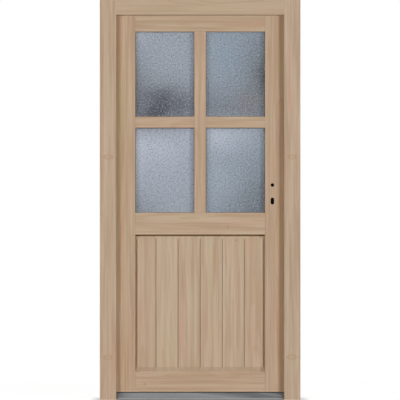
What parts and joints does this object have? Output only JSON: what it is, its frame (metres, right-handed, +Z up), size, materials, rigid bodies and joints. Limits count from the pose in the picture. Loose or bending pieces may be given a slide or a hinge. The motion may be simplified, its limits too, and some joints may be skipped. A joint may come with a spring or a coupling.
{
  "type": "side entrance door",
  "caption": "Timber side entrance door in its frame: an inward-opening leaf with obscure glass above, a board panel below, a mortise lock and a metal threshold.",
  "frame": {"origin": "underside of the threshold, midway along the frame's width and depth", "axes": "+X to the right seen from outside, +Y from outside to inside, +Z up"},
  "size_m": [1, 0.0868, 2],
  "materials": {
    "frame_timber": "satin stain",
    "leaf_timber": "satin stain",
    "board_timber": "satin stain",
    "bead_timber": "satin stain",
    "obscure_glass": "textured",
    "clear_glass": "clear",
    "spacer": "mill",
    "glazing_seal": "matt",
    "packer_plastic": "matt",
    "gasket": "matt",
    "threshold_metal": "anodised",
    "threshold_plastic": "matt",
    "lock_steel": "satin",
    "case_steel": "zinc plated",
    "hinge_steel": "satin"
  },
  "bodies": {
    "frame": {"hinge_jamb": "frame_timber", "lock_jamb": "frame_timber", "head": "frame_timber", "threshold_outer_rail": "threshold_metal", "threshold_isolator": "threshold_plastic", "threshold_inner_rail": "threshold_metal", "threshold_end_block_left": "threshold_plastic", "threshold_end_block_right": "threshold_plastic", "gasket_hinge_side": "gasket", "gasket_lock_side": "gasket", "gasket_head": "gasket", "strike_plate": "lock_steel", "hinge_frame_parts": "hinge_steel"},
    "leaf": {"hinge_stile": "leaf_timber", "lock_stile": "leaf_timber", "top_rail": "leaf_timber", "lock_rail": "leaf_timber", "bottom_rail": "leaf_timber", "upright_glazing_bar": "leaf_timber", "cross_glazing_bar_left": "leaf_timber", "cross_glazing_bar_right": "leaf_timber", "panel_board_1": "board_timber", "panel_board_2": "board_timber", "panel_board_3": "board_timber", "panel_board_4": "board_timber", "panel_board_5": "board_timber", "panel_board_6": "board_timber", "outer_pane_upper_left": "obscure_glass", "inner_pane_upper_left": "clear_glass", "glazing_beads_upper_left": "bead_timber", "outer_pane_upper_right": "obscure_glass", "inner_pane_upper_right": "clear_glass", "glazing_beads_upper_right": "bead_timber", "outer_pane_lower_left": "obscure_glass", "inner_pane_lower_left": "clear_glass", "glazing_beads_lower_left": "bead_timber", "outer_pane_lower_right": "obscure_glass", "inner_pane_lower_right": "clear_glass", "glazing_beads_lower_right": "bead_timber", "panel_beads": "bead_timber", "glass_spacers": "spacer", "glazing_seals_outer": "glazing_seal", "glazing_seals_inner": "glazing_seal", "setting_blocks": "packer_plastic", "bottom_seal": "gasket", "lock_faceplate": "lock_steel", "lock_case": "case_steel", "hinge_leaf_parts": "hinge_steel"},
    "latch": {"latch_bolt": "lock_steel"},
    "dead_bolt": {"dead_bolt": "lock_steel"},
    "follower": {"follower": "lock_steel"}
  },
  "joints": [
    {"name": "leaf_swing", "type": "hinge", "parent": "frame", "child": "leaf", "pos_m": [-0.4558, 0.0438, 0.9825], "axis": [0, 0, 1], "range_deg": [0, 175]},
    {"name": "follower_turn", "type": "hinge", "parent": "leaf", "child": "follower", "pos_m": [0.361, 0.01, 1.071], "axis": [0, 1, 0], "range_deg": [0, 37]},
    {"name": "latch_slide", "type": "slide", "parent": "leaf", "child": "latch", "axis": [1, 0, 0], "range_m": [0, 0.012]},
    {"name": "dead_bolt_slide", "type": "slide", "parent": "leaf", "child": "dead_bolt", "axis": [1, 0, 0], "range_m": [0, 0.02]}
  ],
  "couplings": [
    {"joint": "follower_turn", "follows": "latch_slide", "rad_per_m": 53.814}
  ]
}
